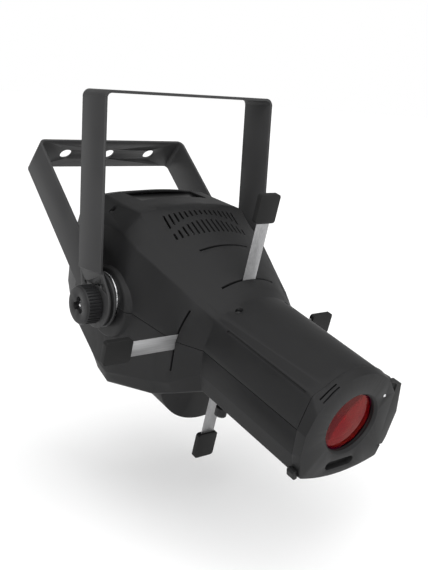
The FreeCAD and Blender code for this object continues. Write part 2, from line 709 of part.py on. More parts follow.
tab_plate = slab(-1.5, 1.5, -98, -80, -84, -66)
tab_round = rod(V(-1.5, 89, -84), TO_X, 9, 3)
keep(cut(fuse(tab_plate, tab_round), cover_outer, rod(V(-3, 89, -84), TO_X, "Dimensions.tab_hole", 6)),
     "safety_tab", LAMP_FRAME)

# ---------------------------------------------------------------- cooling and electronics

side, depth = dim("fan_side"), dim("fan_depth")
fan_front = -64.5
frame_block = slab(-side / 2, side / 2, fan_front - depth, fan_front, fan_z - side / 2, fan_z + side / 2)
duct = rod(at(0, fan_front - depth - 1, fan_z), TO_FRONT, "Dimensions.rotor_radius + 1.5", depth + 2)
fan_back, spoke_reach = fan_front - depth, side / 2 - 1
spokes = [slab(-spoke_reach, spoke_reach, fan_back, fan_back + 2.5, fan_z - 2, fan_z + 2),
          slab(-2, 2, fan_back, fan_back + 2.5, fan_z - spoke_reach, fan_z + spoke_reach)]
motor = rod(at(0, fan_front - depth, fan_z), TO_FRONT, 15, 3)
spindle = rod(at(0, fan_front - depth, fan_z), TO_FRONT, 1.5, 14)
screw_holes = [rod(at(x, fan_front - depth - 1, fan_z + z), TO_FRONT, 2.2, depth + 2)
               for x in (-35.75, 35.75) for z in (-35.75, 35.75)]
keep(fuse(cut(frame_block, duct, *screw_holes), *spokes, motor, spindle), "fan_frame", LAMP_FRAME)

hub = rod(at(0, fan_front - depth + 4.5, fan_z), TO_FRONT, 16, 13)
blades = []
for blade in range(7):
    turn = FreeCAD.Rotation(V(0, 1, 0), 360 / 7 * blade) * FreeCAD.Rotation(V(0, 0, 1), 38)
    middle = at(0, fan_front - depth + 11, fan_z)
    arm = turn.multVec(V(0, 0, 14))
    blades.append(box(middle + arm - turn.multVec(V(7, 0.7, 0)), (14, 1.4, 21), turn))
keep(cut(fuse(hub, *blades), rod(at(0, fan_front - depth + 2, fan_z), TO_FRONT, 1.56, 20)),
     "fan_rotor", LAMP_FRAME)

base_plate = slab(-50, 50, -14, -8, AXIS - 50, AXIS + 50)
fin_count = int(dim("fin_count"))
fins = [slab(x - 0.8, x + 0.8, -60, -14, AXIS - 50, AXIS + 50)
        for x in (-49 + 98 * fin / (fin_count - 1) for fin in range(fin_count))]
keep(fuse(base_plate, *fins), "heatsink", LAMP_FRAME)
keep(slab(-22, 22, -8, -6.4, AXIS - 22, AXIS + 22), "led_board", LAMP_FRAME)
keep(rod(at(0, -6.4, AXIS), TO_FRONT, 11, 1.6), "led_emitter", LAMP_FRAME)

board = slab(-40, 40, -30, 70, -82, -80.4)
parts_on_board = [slab(-32, -4, -20, 8, -80.4, -62), slab(8, 34, -22, -2, -80.4, -66),
                  slab(-34, -14, 30, 58, -80.4, -70)]
parts_on_board += [rod(at(x, 24, -80.4), NO_TURN, 6.5, 16) for x in (4, 20)]
keep(fuse(board, *parts_on_board), "power_board", LAMP_FRAME)
keep(fuse(slab(-48, 50, -110, -108.4, BUTTON_ROW - 9, BUTTON_ROW + 9),
          slab(-30, -10, -108.4, -105, BUTTON_ROW - 6, BUTTON_ROW + 6)), "control_board", LAMP_FRAME)

# ---------------------------------------------------------------- light engine and gate

def ellipse_points(half_length, half_width, steps=8):
    """Points of the reflector's ellipse, from its narrow end to its open rim."""
    start = math.radians(20)
    angles = [start + (math.pi / 2 - start) * step / steps for step in range(steps + 1)]
    return [(RIM - half_length * math.cos(a), half_width * math.sin(a)) for a in angles]


RIM = 52
inside = ellipse_points(59, 44)
outside = ellipse_points(60.5, 45.5)
flange = [(RIM, 49), (RIM - 1.5, 49), (RIM - 1.5, outside[-1][1])]
reflector_profile = closed(inside + flange + outside[-2::-1])
keep(turned(reflector_profile), "reflector", LAMP_FRAME)
posts = [rod(at(x, -8, AXIS + z), TO_FRONT, 3, 111) for x in (-38.4, 38.4) for z in (-38.4, 38.4)]
keep(group(*posts), "optics_posts", LAMP_FRAME)
keep(turned([((80, 30.2), (80, 50)), ((80, 50), (92, 50)), ((92, 50), (92, 27)), ((92, 27), (90, 27)),
             ((90, 27), (90, 30.2)), ((90, 30.2), (80, 30.2))]), "condenser_holder", LAMP_FRAME)


def dome(vertex, edge, radius):
    """The arc of a lens face, from its vertex on the axis to its edge."""
    sag = edge - vertex
    sphere = (radius ** 2 + sag ** 2) / (2 * sag)
    half_angle = math.asin(radius / abs(sphere)) / 2
    middle = (vertex + sphere * (1 - math.cos(half_angle)), abs(sphere) * math.sin(half_angle))
    return (vertex, 0), middle, (edge, radius)


def lens(vertex, edge, flat, radius):
    """A lens with one domed face and one flat face."""
    return turned([dome(vertex, edge, radius), ((edge, radius), (flat, radius)),
                   ((flat, radius), (flat, 0)), ((flat, 0), (vertex, 0))])


keep(lens(82, 88, 90, 30), "condenser_lens", LAMP_FRAME)


def gate_plate(label, near, radius, hole):
    """A round steel plate with the gate's window."""
    plate = rod(at(0, near, AXIS), TO_FRONT, radius, "Dimensions.gate_sheet")
    keep(cut(plate, rod(at(0, near - 1, AXIS), TO_FRONT, hole, 4)), label, LAMP_FRAME)


gate_back, gate_front = 103, 115.5
gate_plate("gate_rear_plate", gate_back, 58, "Dimensions.gate_window")
gate_plate("gate_front_plate", gate_front, 55, "Dimensions.gate_window + 3")
spacer_gap = gate_front - gate_back - dim("gate_sheet")
keep(group(*[rod(at(x, gate_back + dim("gate_sheet"), AXIS + z), TO_FRONT, 2, spacer_gap)
             for x in (-36.8, 36.8) for z in (-36.8, 36.8)]), "gate_spacers", LAMP_FRAME)

# How far out each handle starts, and how far its blade is pushed to one side.
HANDLE_STARTS = {"top": 122, "bottom": 120, "left": 125, "right": 112}
BLADE_SHIFTS = {"top": 0, "bottom": -5, "left": 0, "right": -7.5}
BLADE_REACH, PLATE_DEPTH = 95, 22


def radial_slab(name, near, far, half, forward0, forward1):
    """A box along one shutter's direction, from near to far off the optical axis."""
    x, z = DIRECTIONS[name]
    shift = BLADE_SHIFTS[name]
    if x:
        ends = sorted((x * near, x * far))
        return slab(ends[0], ends[1], forward0, forward1, AXIS + shift - half, AXIS + shift + half)
    ends = sorted((AXIS + z * near, AXIS + z * far))
    return slab(shift - half, shift + half, forward0, forward1, ends[0], ends[1])


def handle_block(name, start, near):
    """A shutter's flat grip with round corners."""
    x, z = DIRECTIONS[name]
    half, middle = dim("handle_width") / 2, start + dim("handle_length") / 2
    length, shift = dim("handle_length") / 2, BLADE_SHIFTS[name]
    half_x, half_z = (length, half) if x else (half, length)
    centre_x, centre_z = (x * middle, AXIS + shift) if x else (shift, AXIS + z * middle)
    corners = [(centre_x + sx * half_x, centre_z + sz * half_z)
               for sx, sz in ((-1, -1), (1, -1), (1, 1), (-1, 1))]
    outline = rounded(closed(corners), [dim("handle_corner")] * 4)
    return group(pad("XZ_Plane", outline, "Dimensions.handle_thickness", str(near)))


for index, name in enumerate(SHUTTERS):
    middle, start = blade_plane(index), HANDLE_STARTS[name]
    thin, thick = dim("blade_thickness") / 2, dim("handle_thickness") / 2
    wide, narrow = dim("blade_plate") / 2, dim("blade_width") / 2
    inner = start - BLADE_REACH
    leaf = fuse(radial_slab(name, inner, inner + PLATE_DEPTH, wide, middle - thin, middle + thin),
                radial_slab(name, inner + PLATE_DEPTH - 1, start + dim("handle_grip"), narrow,
                            middle - thin, middle + thin))
    keep(leaf, f"{name}_shutter_blade", LAMP_FRAME)
    grip = handle_block(name, start, middle - thick)
    pocket = radial_slab(name, start - 1, start + dim("handle_grip"), narrow, middle - thin, middle + thin)
    keep(cut(grip, pocket), f"{name}_shutter_handle", LAMP_FRAME)

# ---------------------------------------------------------------- lens barrel

tube = [((212, 37), (263, 37)), ((263, 37), (263, 29.5)), ((263, 29.5), (261, 29.5)),
        ((261, 29.5), (261, 31.2)), ((261, 31.2), (214, 31.2)), ((214, 31.2), (214, 28)),
        ((214, 28), (212, 28)), ((212, 28), (212, 37))]
rod_x = dim("rod_reach")
ears = [slab(min(s * 34, s * 48.5), max(s * 34, s * 48.5), 216, 246, AXIS - 6, AXIS + 6) for s in (-1, 1)]
arm = fuse(slab(-41, -33, 212, 224, -40, -6), slab(-41, -35, 150, 224, -40, -35))
tube_bore = rod(at(0, 211, AXIS), TO_FRONT, 31.2, 50)
rod_bores = [rod(at(s * rod_x, 210, AXIS), TO_FRONT, "Dimensions.rod_radius + Dimensions.rod_running_gap",
                 40) for s in (-1, 1)]
FOCUS_X, FOCUS_F = -38, 157
focus_bore = rod(at(FOCUS_X, FOCUS_F, -46), NO_TURN, 2.06, 12)
carriage_body = fuse(turned(tube), cut(fuse(*ears, arm), tube_bore))
keep(cut(carriage_body, *rod_bores, focus_bore), "lens_carriage", LAMP_FRAME)
keep(group(*[rod(at(s * rod_x, gate_front + dim("gate_sheet"), AXIS), TO_FRONT, "Dimensions.rod_radius",
                 270.2 - gate_front - dim("gate_sheet")) for s in (-1, 1)]), "guide_rods", LAMP_FRAME)
keep(lens(260.5, 255, 252, 31), "front_lens", LAMP_FRAME)
keep(lens(216, 222, 225, 31), "rear_lens", LAMP_FRAME)
keep(turned([((225.2, 29), (225.2, 31)), ((225.2, 31), (251.8, 31)), ((251.8, 31), (251.8, 29)),
             ((251.8, 29), (225.2, 29))]), "lens_spacer_tube", LAMP_FRAME)
focus_shank = rod(at(FOCUS_X, FOCUS_F, -50), NO_TURN, 2, 14)
focus_head = rod(at(FOCUS_X, FOCUS_F, -57), NO_TURN, 6, 9)
focus_ribs = [rod(at(FOCUS_X + 6 * math.cos(a), FOCUS_F + 6 * math.sin(a), -58), NO_TURN, 0.6, 9)
              for a in (2 * math.pi * rib / 18 for rib in range(18))]
keep(cut(fuse(focus_shank, focus_head), *focus_ribs), "focus_knob", LAMP_FRAME)

COLLAR_SCREWS = ((34.1, 27),)
COLLAR_ROUNDING = (3, 6, 4, 8, 6)
COLLAR_FACE = (0, 55.3, 35, 42.6, 50, 24.6, 56.5, 0, 55.5, -15, 49, -41, -48.5)
collar_back = ring_edges(inset(ring_points(station_values("nose")), -0.6), COLLAR_ROUNDING)
collar_block = loft([("Dimensions.barrel_front + 0.7", collar_back),
                     ("Dimensions.collar_front", ring_edges(ring_points(COLLAR_FACE), COLLAR_ROUNDING))])
collar_front = dim("collar_front")
opening = rod(at(0, 269, AXIS), TO_FRONT, "Dimensions.opening_radius", 14)
bevel = cone(at(0, collar_front - 2.5, AXIS), TO_FRONT, dim("opening_radius"), 31.5, 2.6)
frame_slot = slab(-41, 70, 273.4, 277, AXIS - 32.4, AXIS + 32.4)
mouth = [slab(-14, 12, 275, 283, -41.5, -32.5)]
mouth += [rod(at(x, 275, -37), TO_FRONT, 4.5, 8) for x in (-14, 12)]
tail = slab(47, 70, 269, 283, -30.5, 37)
screw_seats = [rod(at(x, collar_front - 1.2, z), TO_FRONT, 2.0, 3) for x, z in COLLAR_SCREWS]


def clip_slot(forward):
    """One of the two short slots of the clip on the collar's upper left shoulder."""
    slope = FreeCAD.Rotation(V(0, 1, 0), -CLIP_ANGLE)
    return box(at(-46, forward + 0.7, 36) - slope.multVec(V(0, 0, 4)), (20, 1.4, 11), slope)


CLIP_ANGLE = 35
clip_slots = [clip_slot(forward) for forward in (275.2, 278.8)]
keep(cut(collar_block, opening, bevel, frame_slot, *mouth, tail, *screw_seats, *clip_slots),
     "front_collar", LAMP_FRAME)

leaf = slab(-40.5, 58, 273.7, 276.7, AXIS - 32, AXIS + 32)
ring_whole = pad("XZ_Plane", ring_edges(inset(ring_points(station_values("nose")), -3.2)), 14, "269")
pull = common(ring_whole, slab(47.3, 70, 270.6, 281, -30, 36.5))
keep(cut(fuse(common(leaf, ring_whole), pull),
         rod(at(0, 269, AXIS), TO_FRONT, 30, 14)), "filter_frame", LAMP_FRAME)
keep(rod(at(0, 274.6, AXIS), TO_FRONT, 29.9, 1.2), "filter_glass", LAMP_FRAME)

# ---------------------------------------------------------------- screws

keep(group(*[rod(at(x, forward, z), NO_TURN, 2.9, 1.8) for x, forward, z in SHELL_SCREWS]),
     "shell_screws", LAMP_FRAME)
keep(group(*[rod(at(x, collar_front - 1.2, z), TO_FRONT, 1.7, 1.1) for x, z in COLLAR_SCREWS]),
     "collar_screws", LAMP_FRAME)
keep(group(*[rod(at(x, panel_back - 1.2, z), TO_FRONT, 3, 1.2) for x in (-45, 45) for z in (-4, 58)]),
     "rear_cover_screws", LAMP_FRAME)


# ---------------------------------------------------------------- write the sub-parts

doc.recompute()
for part in doc.Objects:
    if "Invalid" in part.State or "Error" in part.State:
        raise SystemExit(f"{part.Label} failed: {part.State}")
os.makedirs("parts", exist_ok=True)
for part in SUB_PARTS:
    shape = part.Shape
    if shape.isNull() or not shape.isValid() or not shape.Solids:
        raise SystemExit(f"{part.Label} has no valid shape")
for part in SUB_PARTS:
    part.Shape.exportStep(f"parts/{part.Label}.step")
    print(f"{part.Label}: {len(part.Shape.Solids)} solid(s), {part.Shape.Volume / 1000:.1f} cm3")
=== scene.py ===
import json
import math

import bmesh
import bpy
from mathutils import Matrix, Vector


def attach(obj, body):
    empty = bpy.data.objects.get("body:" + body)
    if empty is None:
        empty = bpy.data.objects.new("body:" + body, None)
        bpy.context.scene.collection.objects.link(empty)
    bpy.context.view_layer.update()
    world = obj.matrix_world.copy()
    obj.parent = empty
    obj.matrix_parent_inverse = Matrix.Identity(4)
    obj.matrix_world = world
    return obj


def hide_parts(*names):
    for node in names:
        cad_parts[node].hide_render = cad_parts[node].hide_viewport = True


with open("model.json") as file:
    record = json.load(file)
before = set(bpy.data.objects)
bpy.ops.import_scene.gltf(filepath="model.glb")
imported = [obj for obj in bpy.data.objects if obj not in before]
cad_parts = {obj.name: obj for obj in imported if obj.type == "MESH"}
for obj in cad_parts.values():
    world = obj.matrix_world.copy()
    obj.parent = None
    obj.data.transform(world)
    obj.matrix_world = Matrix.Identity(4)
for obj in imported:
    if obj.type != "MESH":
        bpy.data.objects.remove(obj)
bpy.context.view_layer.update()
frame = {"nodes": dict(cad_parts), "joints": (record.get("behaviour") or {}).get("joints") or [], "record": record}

NODES = frame["nodes"]
MM = 0.001

# The lamp's own frame: x across, y backwards, z up, tilted about the pivot.
PIVOT = Vector(next(joint["pos_m"] for joint in frame["joints"] if joint["name"] == "lamp_tilt"))
FORWARD = Vector(next(joint["axis"] for joint in frame["joints"] if joint["name"] == "focus_slide"))
UP = Vector((1, 0, 0)).cross(-FORWARD)
TILT = Matrix((Vector((1, 0, 0)), -FORWARD, UP)).transposed()
PIVOT_IN_LAMP = Vector((0, -8.5, -1)) * MM
LAMP = Matrix.Translation(PIVOT - TILT @ PIVOT_IN_LAMP) @ TILT.to_4x4()
FLOOR_HEIGHT = -0.4394
OPTICAL_HEIGHT = 4  # mm above the lamp's own origin
FILTER_FRONT = 275.0  # mm in front of it
LABEL_SEAT = 88.52  # mm, the floor of the roof's recess

WORLD_LIGHT, SUN_LIGHT, KEY_LIGHT, FILL_LIGHT, LOW_LIGHT = 0.5, 2.6, 5, 3, 3
CAMERA_PLACE = Vector((-543.98, -740.57, 0.1)) * MM
CAMERA_YAW, CAMERA_PITCH, CAMERA_ROLL = 39.07, -12.536, 3.367
FOCAL_LENGTH = 53.73


# ------------------------------------------------------------------ camera, floor and lights

def set_camera():
    """The camera stands in front and to the left, level with the top of the bracket."""
    yaw, pitch, roll = (math.radians(angle) for angle in (CAMERA_YAW, CAMERA_PITCH, CAMERA_ROLL))
    ahead = Vector((math.sin(yaw) * math.cos(pitch), math.cos(yaw) * math.cos(pitch), math.sin(pitch)))
    right = ahead.cross(Vector((0, 0, 1))).normalized()
    above = right.cross(ahead)
    turned_right = right * math.cos(roll) + above * math.sin(roll)
    turned_up = above * math.cos(roll) - right * math.sin(roll)
    data = bpy.data.cameras.new("Camera")
    data.lens = FOCAL_LENGTH
    data.sensor_width = 36
    camera = bpy.data.objects.new("Camera", data)
    pose = Matrix((turned_right, turned_up, -ahead)).transposed().to_4x4()
    pose.translation = CAMERA_PLACE
    camera.matrix_world = pose
    bpy.context.scene.collection.objects.link(camera)
    bpy.context.scene.camera = camera


def add_area(name, place, target, size, power):
    """A soft rectangular light that looks at a point."""
    data = bpy.data.lights.new(name, "AREA")
    data.shape = "RECTANGLE"
    data.size, data.size_y = size
    data.energy = power
    light = bpy.data.objects.new(name, data)
    light.matrix_world = Matrix.LocRotScale(place, (target - place).to_track_quat("-Z", "Y"), None)
    bpy.context.scene.collection.objects.link(light)


def add_sun(name, direction, strength, spread):
    """A wide, even light from one side."""
    data = bpy.data.lights.new(name, "SUN")
    data.energy = strength
    data.angle = math.radians(spread)
    light = bpy.data.objects.new(name, data)
    light.rotation_mode = "QUATERNION"
    light.rotation_quaternion = Vector(direction).to_track_quat("-Z", "Y")
    bpy.context.scene.collection.objects.link(light)


def set_world():
    """An even studio surround: white behind the object and dimmer as a light."""
    world = bpy.data.worlds.new("Studio")
    world.use_nodes = True
    tree = world.node_tree
    tree.nodes.clear()
    output = tree.nodes.new("ShaderNodeOutputWorld")
    mix = tree.nodes.new("ShaderNodeMixShader")
    seen = tree.nodes.new("ShaderNodeLightPath")
    for socket, strength in ((1, WORLD_LIGHT), (2, 1.0)):
        back = tree.nodes.new("ShaderNodeBackground")
        back.inputs["Color"].default_value = (1, 1, 1, 1)
        back.inputs["Strength"].default_value = strength
        tree.links.new(back.outputs["Background"], mix.inputs[socket])
    tree.links.new(seen.outputs["Is Camera Ray"], mix.inputs[0])
    tree.links.new(mix.outputs["Shader"], output.inputs["Surface"])
    bpy.context.scene.world = world


def set_stage():
    """A plain white floor and soft studio light."""
    bpy.ops.mesh.primitive_plane_add(size=60, location=(0, 12, FLOOR_HEIGHT))
    floor = bpy.context.object
    floor.name = "Floor"
    material = bpy.data.materials.new("floor_white")
    material.use_nodes = True
    shader = material.node_tree.nodes["Principled BSDF"]
    shader.inputs["Base Color"].default_value = (0.94, 0.94, 0.94, 1)
    shader.inputs["Roughness"].default_value = 0.9
    floor.data.materials.append(material)
    set_world()
    centre = PIVOT + Vector((0, -0.05, 0.02))
    add_sun("Sky", (0.25, 0.45, -1.0), SUN_LIGHT, 100)
    add_area("Key", centre + Vector((-1.1, -1.0, 1.2)), centre, (0.8, 0.5), KEY_LIGHT)
    add_area("Fill", centre + Vector((1.3, -1.2, 0.1)), centre, (0.4, 1.0), FILL_LIGHT)
    add_area("Low", centre + Vector((-0.5, -1.3, -0.12)), centre, (0.5, 0.25), LOW_LIGHT)


# ------------------------------------------------------------------ materials

BARE_STEEL = (0.32, 0.32, 0.33)


def new_material(name):
    """A node material with its shader and a small helper for adding nodes."""
    material = bpy.data.materials.new(name)
    material.use_nodes = True
    tree = material.node_tree
    shader = tree.nodes["Principled BSDF"]
    return material, tree, shader


def object_coordinates(tree, scale=(1, 1, 1)):
    """Object-space position, stretched where a finish has a direction."""
    source = tree.nodes.new("ShaderNodeTexCoord")
    mapping = tree.nodes.new("ShaderNodeMapping")
    mapping.inputs["Scale"].default_value = scale
    tree.links.new(source.outputs["Object"], mapping.inputs["Vector"])
    return mapping.outputs["Vector"]


def noise(tree, vector, scale, detail=3, rough=0.5):
    """A noise texture's value."""
    node = tree.nodes.new("ShaderNodeTexNoise")
    node.inputs["Scale"].default_value = scale
    node.inputs["Detail"].default_value = detail
    node.inputs["Roughness"].default_value = rough
    tree.links.new(vector, node.inputs["Vector"])
    return node.outputs["Fac"]


def ramp(tree, value, stops):
    """A colour ramp; stops are (position, colour or grey)."""
    node = tree.nodes.new("ShaderNodeValToRGB")
    elements = node.color_ramp.elements
    while len(elements) < len(stops):
        elements.new(0.5)
    for element, (position, colour) in zip(elements, stops):
        element.position = position
        element.color = (colour, colour, colour, 1) if isinstance(colour, (int, float)) else (*colour, 1)
    tree.links.new(value, node.inputs["Fac"])
    return node.outputs["Color"]


def mix_colour(tree, share, first, second, mode="MIX"):
    """Two colours mixed by a share that may be a number or a socket."""
    node = tree.nodes.new("ShaderNodeMix")
    node.data_type = "RGBA"
    node.blend_type = mode
    for socket, value in (("Factor", share), ("A", first), ("B", second)):
        target = next(s for s in node.inputs if s.name == socket and s.enabled)
        if isinstance(value, bpy.types.NodeSocket):
            tree.links.new(value, target)
        elif isinstance(value, (int, float)):
            target.default_value = value
        else:
            target.default_value = (*value, 1)
    return next(s for s in node.outputs if s.enabled)


def edge_mask(tree, radius):
    """1 on worn convex and concave edges and 0 on open faces."""
    bevel = tree.nodes.new("ShaderNodeBevel")
    bevel.samples = 4
    bevel.inputs["Radius"].default_value = radius
    geometry = tree.nodes.new("ShaderNodeNewGeometry")
    dot = tree.nodes.new("ShaderNodeVectorMath")
    dot.operation = "DOT_PRODUCT"
    tree.links.new(bevel.outputs["Normal"], dot.inputs[0])
    tree.links.new(geometry.outputs["Normal"], dot.inputs[1])
    return ramp(tree, dot.outputs["Value"], ((0.80, 1.0), (0.985, 0.0)))


def bump(tree, shader, layers):
    """Bump from several (height, strength, distance) layers, finest first."""
    normal = None
    for height, strength, distance in layers:
        node = tree.nodes.new("ShaderNodeBump")
        node.inputs["Strength"].default_value = strength
        node.inputs["Distance"].default_value = distance
        tree.links.new(height, node.inputs["Height"])
        if normal is not None:
            tree.links.new(normal, node.inputs["Normal"])
        normal = node.outputs["Normal"]
    tree.links.new(normal, shader.inputs["Normal"])


def lighter(colour, factor):
    """A colour made lighter, up to white."""
    return tuple(min(1, c * factor) for c in colour)


def moulded_plastic(name, colour, roughness, grain=1500, depth=0.00006):
    """Textured black moulding: spark-eroded grain, slight mottling and polished edges."""
    material, tree, shader = new_material(name)
    place = object_coordinates(tree)
    fine = noise(tree, place, grain, 4, 0.6)
    broad = noise(tree, place, 22, 3)
    light = lighter(colour, 1.35)
    base = mix_colour(tree, ramp(tree, broad, ((0.35, 0.0), (0.7, 1.0))), colour, light)
    speck = mix_colour(tree, ramp(tree, fine, ((0.45, 0.0), (0.75, 0.35))), base, light)
    worn = mix_colour(tree, edge_mask(tree, 0.0009), speck, lighter(colour, 2.6))
    tree.links.new(worn, shader.inputs["Base Color"])
    rough = ramp(tree, broad, ((0.3, roughness - 0.05), (0.75, roughness + 0.07)))
    tree.links.new(rough, shader.inputs["Roughness"])
    shader.inputs["Specular IOR Level"].default_value = 0.2
    bump(tree, shader, ((fine, 0.5, depth), (broad, 0.08, 0.0004)))
    return material


def coated_steel(name, colour, roughness):
    """Powder-coated steel: orange peel, fine specks and edges rubbed thin."""
    material, tree, shader = new_material(name)
    place = object_coordinates(tree)
    peel = noise(tree, place, 900, 2)
    broad = noise(tree, place, 14, 4)
    base = mix_colour(tree, ramp(tree, broad, ((0.3, 0.0), (0.75, 1.0))), colour, lighter(colour, 1.4))
    patch = noise(tree, place, 60, 5, 0.7)
    edge = edge_mask(tree, 0.0007)
    share = mix_colour(tree, 1.0, edge, ramp(tree, patch, ((0.42, 0.05), (0.72, 0.55))), "MULTIPLY")
    tree.links.new(mix_colour(tree, share, base, BARE_STEEL), shader.inputs["Base Color"])
    tree.links.new(ramp(tree, broad, ((0.25, roughness - 0.06), (0.8, roughness + 0.08))),
                   shader.inputs["Roughness"])
    shader.inputs["Specular IOR Level"].default_value = 0.3
    bump(tree, shader, ((peel, 0.35, 0.00005), (broad, 0.05, 0.0003)))
    return material


def metal(name, colour, roughness, stretch=(1, 1, 1), grain=600):
    """Bare metal; stretch makes the brushing run along one axis."""
    material, tree, shader = new_material(name)
    shader.inputs["Metallic"].default_value = 1.0
    lines = noise(tree, object_coordinates(tree, stretch), grain, 5, 0.65)
    stain = noise(tree, object_coordinates(tree), 45, 4, 0.6)
    dark = tuple(c * 0.72 for c in colour)
    base = mix_colour(tree, ramp(tree, lines, ((0.3, 0.0), (0.7, 1.0))), dark, colour)
    stained = mix_colour(tree, ramp(tree, stain, ((0.55, 0.0), (0.8, 0.35))), base, dark)
    tree.links.new(stained, shader.inputs["Base Color"])
    tree.links.new(ramp(tree, lines, ((0.25, roughness), (0.75, roughness + 0.1))),
                   shader.inputs["Roughness"])
    bump(tree, shader, ((lines, 0.35, 0.00002),))
    return material


def glass(name, colour):
    """Glass with faint smears."""
    material, tree, shader = new_material(name)
    smear = noise(tree, object_coordinates(tree), 70, 4)
    shader.inputs["Base Color"].default_value = (*colour, 1)
    shader.inputs["Transmission Weight"].default_value = 1.0
    shader.inputs["IOR"].default_value = 1.45
    tree.links.new(ramp(tree, smear, ((0.4, 0.02), (0.8, 0.08))), shader.inputs["Roughness"])
    return material


def coated_lens(name):
    """A lens whose red coating colours both what passes and what it mirrors."""
    material, tree, shader = new_material(name)
    smear = noise(tree, object_coordinates(tree), 60, 4)
    weight = tree.nodes.new("ShaderNodeLayerWeight")
    weight.inputs["Blend"].default_value = 0.35
    tint = ramp(tree, weight.outputs["Facing"], ((0.30, (0.95, 0.30, 0.28)), (0.75, (0.85, 0.12, 0.45))))
    tree.links.new(tint, shader.inputs["Base Color"])
    shader.inputs["Metallic"].default_value = 0.85
    shader.inputs["Transmission Weight"].default_value = 0.9
    shader.inputs["IOR"].default_value = 1.5
    shader.inputs["Specular Tint"].default_value = (1.0, 0.12, 0.2, 1)
    tree.links.new(ramp(tree, smear, ((0.4, 0.01), (0.8, 0.03))), shader.inputs["Roughness"])
    return material


def dichroic(name):
    """Red filter glass that mirrors part of the light, with lighter red patches of painted reflection, and turns
    magenta at its rim.
    """
    material, tree, shader = new_material(name)
    place = object_coordinates(tree)
    reach = tree.nodes.new("ShaderNodeVectorMath")
    reach.operation = "DISTANCE"
    reach.inputs[1].default_value = LAMP @ (Vector((0, -FILTER_FRONT - 0.5, OPTICAL_HEIGHT)) * MM)
    tree.links.new(place, reach.inputs[0])
    share = tree.nodes.new("ShaderNodeMath")
    share.operation = "MULTIPLY"
    share.inputs[1].default_value = 30.0
    tree.links.new(reach.outputs["Value"], share.inputs[0])
    # The glass is mottled at random between deep red and a lighter red, a painted reflection.
    painted_reflection_cloud = noise(tree, place, 38, 2)
    deep_red, painted_reflection_red, magenta = (0.93, 0.06, 0.075), (0.97, 0.20, 0.17), (0.45, 0.02, 0.20)
    body = mix_colour(tree, ramp(tree, painted_reflection_cloud, ((0.42, 0.0), (0.62, 1.0))), deep_red, painted_reflection_red)
    tint = mix_colour(tree, ramp(tree, share.outputs["Value"], ((0.80, 0.0), (0.86, 1.0))), body, magenta)
    tree.links.new(tint, shader.inputs["Base Color"])
    shader.inputs["Metallic"].default_value = 0.07
    shader.inputs["Transmission Weight"].default_value = 1.0
    shader.inputs["IOR"].default_value = 1.12
    smear = noise(tree, place, 70, 4)
    tree.links.new(ramp(tree, smear, ((0.4, 0.02), (0.8, 0.06))), shader.inputs["Roughness"])
    return material


def lit_segment(name, colour, strength):
    """A softly glowing display element."""
    material, tree, shader = new_material(name)
    speck = noise(tree, object_coordinates(tree), 900, 2)
    glow = mix_colour(tree, ramp(tree, speck, ((0.3, 0.0), (0.8, 0.4))), colour, (0.5, 0.7, 0.9))
    tree.links.new(glow, shader.inputs["Emission Color"])
    tree.links.new(glow, shader.inputs["Base Color"])
    shader.inputs["Emission Strength"].default_value = strength
    return material


def plain_finish(name, colour, roughness):
    """A simple moulded or printed finish with a little mottling."""
    material, tree, shader = new_material(name)
    speck = noise(tree, object_coordinates(tree), 400, 3)
    base = mix_colour(tree, ramp(tree, speck, ((0.4, 0.0), (0.75, 1.0))), colour,
                      tuple(min(1, c * 1.3 + 0.004) for c in colour))
    tree.links.new(base, shader.inputs["Base Color"])
    tree.links.new(ramp(tree, speck, ((0.3, roughness), (0.8, roughness + 0.1))), shader.inputs["Roughness"])
    bump(tree, shader, ((speck, 0.15, 0.00005),))
    return material


# Each material slot's or finish's maker and what it takes.
RECIPES = {
    "shell_plastic": (moulded_plastic, (0.0075, 0.0075, 0.0078), 0.5),
    "black_plastic": (moulded_plastic, (0.006, 0.006, 0.0063), 0.5),
    "handle_plastic": (moulded_plastic, (0.005, 0.005, 0.005), 0.55, 1100, 0.0001),
    "knob_plastic": (moulded_plastic, (0.011, 0.011, 0.0115), 0.45, 1800, 0.00004),
    "bracket_steel": (coated_steel, (0.022, 0.022, 0.0225), 0.5),
    "black_metal": (coated_steel, (0.012, 0.012, 0.012), 0.55),
    "black_screw": (coated_steel, (0.02, 0.02, 0.02), 0.35),
    "bright_screw": (metal, (0.75, 0.75, 0.76), 0.22),
    "polished_steel": (metal, (0.60, 0.60, 0.61), 0.2, (0.02, 1, 1)),
    "stud_chrome": (metal, (0.85, 0.85, 0.86), 0.08),
    "zinc_steel": (metal, (0.62, 0.63, 0.66), 0.3),
    # The lengthwise steel of the top and bottom blades is darker than the sideways steel of the side blades, a
    # painted shade.
    "brushed_lengthwise": (metal, (0.36, 0.36, 0.365), 0.4, (1, 1, 0.03), 900),
    "brushed_sideways": (metal, (0.44, 0.44, 0.445), 0.38, (0.03, 1, 1), 900),
    "raw_aluminium": (metal, (0.7, 0.7, 0.72), 0.35, (1, 1, 0.02)),
    "reflector_metal": (metal, (0.85, 0.85, 0.87), 0.12),
    "button_plastic": (plain_finish, (0.03, 0.03, 0.032), 0.35),
    "socket_plastic": (plain_finish, (0.012, 0.012, 0.012), 0.35),
    "inlet_plastic": (plain_finish, (0.02, 0.05, 0.2), 0.35),
    "circuit_board": (plain_finish, (0.01, 0.08, 0.035), 0.4),
    "emitter": (plain_finish, (0.7, 0.55, 0.08), 0.4),
    "label_ink": (plain_finish, (0.75, 0.75, 0.75), 0.5),
    "label_film": (plain_finish, (0.008, 0.008, 0.008), 0.3),
    "lit_segment": (lit_segment, (0.15, 0.45, 0.9), 1.5),
    "display_glass": (glass, (0.05, 0.06, 0.07)),
    "clear_glass": (glass, (0.92, 0.94, 0.94)),
    "coated_glass": (coated_lens,),
    "filter_glass": (dichroic,),
}
MATERIALS = {name: make(name, *values) for name, (make, *values) in RECIPES.items()}
